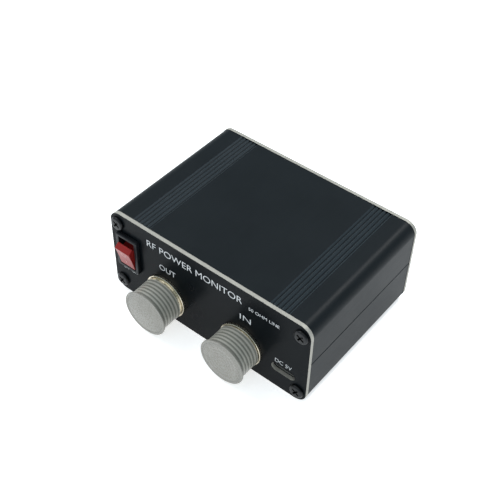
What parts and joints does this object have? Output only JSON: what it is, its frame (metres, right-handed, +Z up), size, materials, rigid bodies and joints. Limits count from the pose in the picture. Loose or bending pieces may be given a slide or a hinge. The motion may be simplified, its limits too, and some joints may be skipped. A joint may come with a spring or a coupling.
{
  "type": "swr meter",
  "caption": "Small black aluminium box that measures radio power and standing-wave ratio, with capped coaxial sockets, red rocker switch and charging port at one end and a display at the other.",
  "frame": {"origin": "centre of the case's underside", "axes": "+Z up, -Y towards the socket panel, +Y towards the display panel, +X to the right seen from the sockets"},
  "size_m": [0.088, 0.0758, 0.038],
  "materials": {
    "case_black": "black anodised extrusion, satin",
    "panel_black": "black face, bare bright edges",
    "screw_black": "blackened steel",
    "nickel": "warm nickel plate",
    "ptfe": "white fluoropolymer",
    "contact_gold": "thin gold plate on brass",
    "cap_clear": "milky translucent soft plastic",
    "switch_black": "moulded black",
    "rocker_red": "moulded red",
    "steel": "plain steel",
    "copper": "copper",
    "enamel_wire": "enamelled copper wire",
    "board": "solder-masked glass board",
    "ferrite": "sintered ferrite",
    "chip_black": "moulded epoxy",
    "chip_tan": "fired ceramic",
    "diode_glass": "glass with tinned ends",
    "cell_foil": "foil pouch",
    "foam": "closed-cell foam",
    "lead_red": "soft insulated wire",
    "lead_black": "soft insulated wire",
    "plug_white": "nylon",
    "window_clear": "smoked clear acrylic",
    "display_dark": "dark display glass"
  },
  "bodies": {
    "case": {"lower_shell": "case_black", "upper_shell": "case_black", "connector_panel": "panel_black", "display_panel": "panel_black", "connector_panel_screws": "screw_black", "display_panel_screws": "screw_black", "power_switch_housing": "switch_black", "switch_common_blade": "nickel", "switch_line_blade": "nickel", "switch_leads": "lead_red", "usb_shell": "steel", "usb_tongue": "chip_black", "main_board": "board", "forward_core": "ferrite", "forward_winding": "enamel_wire", "reflected_core": "ferrite", "reflected_winding": "enamel_wire", "line_conductor": "copper", "line_sleeve": "ptfe", "sense_conductor": "copper", "microcontroller": "chip_black", "charger_chip": "chip_black", "power_inductor": "ferrite", "detector_diodes": "diode_glass", "chip_capacitors": "chip_tan", "chip_resistors": "chip_black", "display_window": "window_clear", "display_gasket": "foam", "display_glass": "display_dark", "display_board": "board", "display_header": "chip_black", "header_pins": "contact_gold", "battery_pad": "foam", "battery_cell": "cell_foil", "battery_lead_red": "lead_red", "battery_lead_black": "lead_black", "battery_header": "plug_white", "battery_plug": "plug_white", "ant_socket_body": "nickel", "ant_socket_insulator": "ptfe", "ant_socket_contact": "contact_gold", "ant_ground_tag": "nickel", "ant_lock_washer": "nickel", "ant_socket_nut": "nickel", "tx_socket_body": "nickel", "tx_socket_insulator": "ptfe", "tx_socket_contact": "contact_gold", "tx_ground_tag": "nickel", "tx_lock_washer": "nickel", "tx_socket_nut": "nickel"},
    "rocker": {"power_rocker": "rocker_red", "rocker_plunger": "ptfe", "rocker_spring": "steel"},
    "contact_lever": {"contact_lever": "copper"},
    "ant_cap": {"ant_dust_cap": "cap_clear"},
    "tx_cap": {"tx_dust_cap": "cap_clear"}
  },
  "joints": [
    {"name": "rocker_tilt", "type": "hinge", "parent": "case", "child": "rocker", "pos_m": [-0.0356, -0.029, 0.022], "axis": [-1, 0, 0], "range_deg": [0, 30]},
    {"name": "lever_tilt", "type": "hinge", "parent": "case", "child": "contact_lever", "pos_m": [-0.0356, -0.0233, 0.022], "axis": [1, 0, 0], "range_deg": [0, 15]},
    {"name": "ant_cap_pull", "type": "slide", "parent": "case", "child": "ant_cap", "axis": [0, -1, 0], "range_m": [0, 0.03]},
    {"name": "tx_cap_pull", "type": "slide", "parent": "case", "child": "tx_cap", "axis": [0, -1, 0], "range_m": [0, 0.03]}
  ],
  "couplings": [
    {"joint": "lever_tilt", "follows": "rocker_tilt", "ratio": 0.5}
  ]
}
